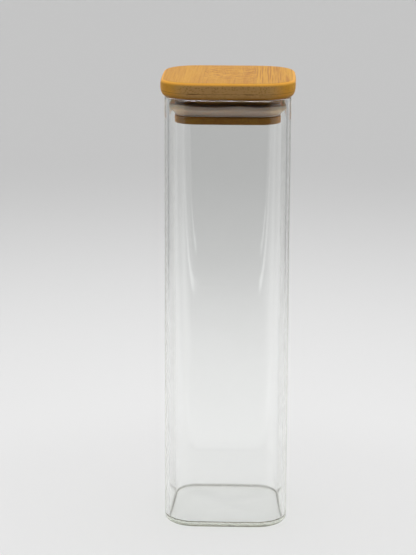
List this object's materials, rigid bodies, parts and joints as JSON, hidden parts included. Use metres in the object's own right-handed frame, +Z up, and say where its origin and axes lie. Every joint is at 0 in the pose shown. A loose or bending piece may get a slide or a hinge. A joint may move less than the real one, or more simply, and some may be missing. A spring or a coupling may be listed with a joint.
{
  "type": "spice jar",
  "caption": "Tall square clear glass jar with rounded corners and a lift-off laminated bamboo lid whose plug carries a silicone sealing ring.",
  "frame": {"origin": "middle of the underside of the jar, on the surface that it stands on", "axes": "+Z up through the lid, +X to the right and -Y towards a viewer at the front"},
  "size_m": [0.064, 0.064, 0.2179],
  "materials": {
    "clear_glass": "clear borosilicate, polished",
    "bamboo": "sanded and oiled, satin",
    "silicone": "translucent white, matte"
  },
  "bodies": {
    "jar": {"glass_jar": "clear_glass"},
    "lid": {"top_ply_left_strip": "bamboo", "top_ply_middle_strip": "bamboo", "top_ply_right_strip": "bamboo", "second_ply_left_strip": "bamboo", "second_ply_middle_strip": "bamboo", "second_ply_right_strip": "bamboo", "third_ply_left_strip": "bamboo", "third_ply_middle_strip": "bamboo", "third_ply_right_strip": "bamboo", "bottom_ply_left_strip": "bamboo", "bottom_ply_middle_strip": "bamboo", "bottom_ply_right_strip": "bamboo", "seal_ring": "silicone"}
  },
  "joints": [
    {"name": "lid_lift", "type": "slide", "parent": "jar", "child": "lid", "axis": [0, 0, 1], "range_m": [0, 0.08]}
  ]
}
